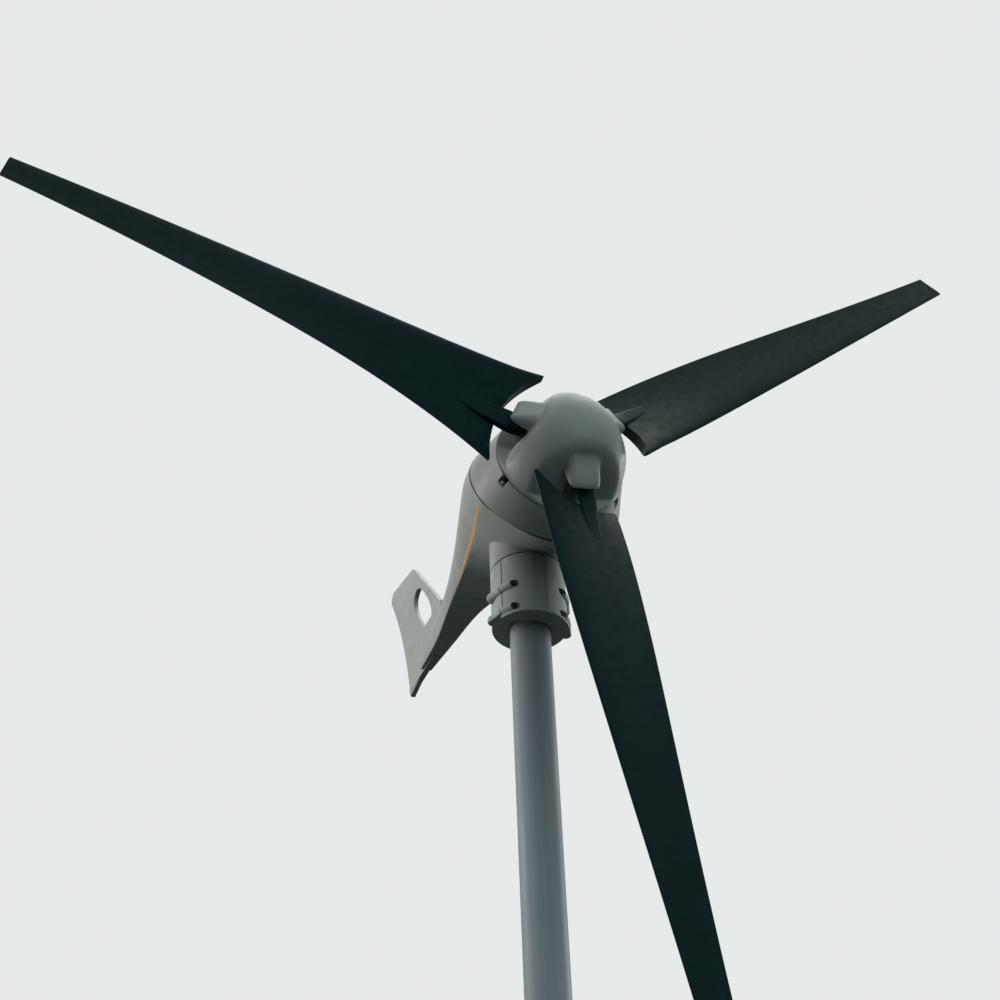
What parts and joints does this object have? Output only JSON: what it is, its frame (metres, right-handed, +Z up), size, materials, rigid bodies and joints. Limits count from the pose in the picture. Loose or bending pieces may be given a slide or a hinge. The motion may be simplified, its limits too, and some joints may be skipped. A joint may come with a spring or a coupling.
{
  "type": "small wind turbine",
  "caption": "Three-blade horizontal-axis wind generator with a tapered nacelle and tail fin, turning on a clamp at the top of a round pole.",
  "frame": {"origin": "at the middle of the mast's foot, on the yaw axis", "axes": "+Z up along the yaw axis and the mast; -Y towards the nose and the wind; +X to the right when seen from the front"},
  "size_m": [1.0115, 0.6715, 1.0601],
  "materials": {
    "body_paint": "satin grey powder coat on an aluminium casting",
    "clamp_paint": "satin grey powder coat on an aluminium casting",
    "mast_steel": "blue-grey weathered galvanising paint",
    "blade_composite": "carbon-filled moulded nylon, satin",
    "ground_steel": "ground",
    "zinc_screw": "zinc plated",
    "bearing_steel": "polished",
    "cage_brass": "pressed brass cage with steel balls",
    "bush_bronze": "sintered bronze",
    "seal_rubber": "black nitrile",
    "moulded_plastic": "black",
    "brush_carbon": "graphite",
    "bare_copper": "copper",
    "stator_steel": "laminated, varnished",
    "magnet_nickel": "nickel plated",
    "core_iron": "machined",
    "bare_alloy": "machined",
    "circuit_board": "solder resist",
    "capacitor_sleeve": "shrink sleeve",
    "red_jacket": "insulation",
    "black_jacket": "insulation"
  },
  "bodies": {
    "mast": {"mast_tube": "mast_steel", "clamp_half_front": "clamp_paint", "clamp_half_rear": "clamp_paint", "clamp_screw_1": "zinc_screw", "clamp_screw_2": "zinc_screw", "clamp_screw_3": "zinc_screw", "clamp_screw_4": "zinc_screw", "yaw_shaft": "ground_steel", "yaw_retaining_ring": "zinc_screw", "slip_ring_carrier": "moulded_plastic", "slip_ring_positive": "bare_copper", "slip_ring_negative": "bare_copper", "mast_wire_red": "red_jacket", "mast_wire_black": "black_jacket"},
    "nacelle": {"nacelle_body": "body_paint", "face_housing": "body_paint", "face_screw_1": "zinc_screw", "face_screw_2": "zinc_screw", "face_screw_3": "zinc_screw", "tail_fin": "body_paint", "tail_screw_1": "zinc_screw", "tail_screw_2": "zinc_screw", "yaw_bush_lower": "bush_bronze", "yaw_bush_upper": "bush_bronze", "yaw_seal": "seal_rubber", "brush_holder": "moulded_plastic", "brush_spring_1": "ground_steel", "brush_spring_2": "ground_steel", "controller_board": "circuit_board", "board_capacitor": "capacitor_sleeve", "rectifier_block": "bare_alloy", "stator_cable": "moulded_plastic", "stator_core": "stator_steel", "stator_winding": "bare_copper", "front_bearing_outer": "bearing_steel", "rear_bearing_outer": "bearing_steel"},
    "brush_upper_body": {"brush_negative": "brush_carbon"},
    "brush_lower_body": {"brush_positive": "brush_carbon"},
    "front_cage": {"front_ball_cage": "cage_brass"},
    "rear_cage": {"rear_ball_cage": "cage_brass"},
    "rotor": {"rotor_shaft": "ground_steel", "magnet_core": "core_iron", "magnet_1": "magnet_nickel", "magnet_2": "magnet_nickel", "magnet_3": "magnet_nickel", "magnet_4": "magnet_nickel", "hub_plate": "bare_alloy", "hub_nut": "zinc_screw", "blade_1": "blade_composite", "blade_2": "blade_composite", "blade_3": "blade_composite", "blade_screw_1": "zinc_screw", "blade_screw_2": "zinc_screw", "blade_screw_3": "zinc_screw", "blade_screw_4": "zinc_screw", "blade_screw_5": "zinc_screw", "blade_screw_6": "zinc_screw", "nose_cone": "body_paint", "front_bearing_inner": "bearing_steel", "rear_bearing_inner": "bearing_steel"}
  },
  "joints": [
    {"name": "yaw", "type": "hinge", "parent": "mast", "child": "nacelle", "pos_m": [0, 0, 0], "axis": [0, 0, 1], "continuous": true},
    {"name": "rotor_spin", "type": "hinge", "parent": "nacelle", "child": "rotor", "pos_m": [0, -0.128, 0.686], "axis": [0, 1, 0], "continuous": true},
    {"name": "front_cage_spin", "type": "hinge", "parent": "nacelle", "child": "front_cage", "pos_m": [0, -0.091, 0.686], "axis": [0, 1, 0], "continuous": true},
    {"name": "rear_cage_spin", "type": "hinge", "parent": "nacelle", "child": "rear_cage", "pos_m": [0, -0.038, 0.686], "axis": [0, 1, 0], "continuous": true},
    {"name": "brush_lower_travel", "type": "slide", "parent": "nacelle", "child": "brush_lower_body", "axis": [0, 1, 0], "range_m": [0, 0.0025], "stiffness_N_per_m": 60, "springref_m": -0.004, "deforming": ["brush_spring_1"]},
    {"name": "brush_upper_travel", "type": "slide", "parent": "nacelle", "child": "brush_upper_body", "axis": [0, 1, 0], "range_m": [0, 0.0025], "stiffness_N_per_m": 60, "springref_m": -0.004, "deforming": ["brush_spring_2"]}
  ],
  "couplings": [
    {"joint": "front_cage_spin", "follows": "rotor_spin", "ratio": 0.4},
    {"joint": "rear_cage_spin", "follows": "rotor_spin", "ratio": 0.4}
  ]
}
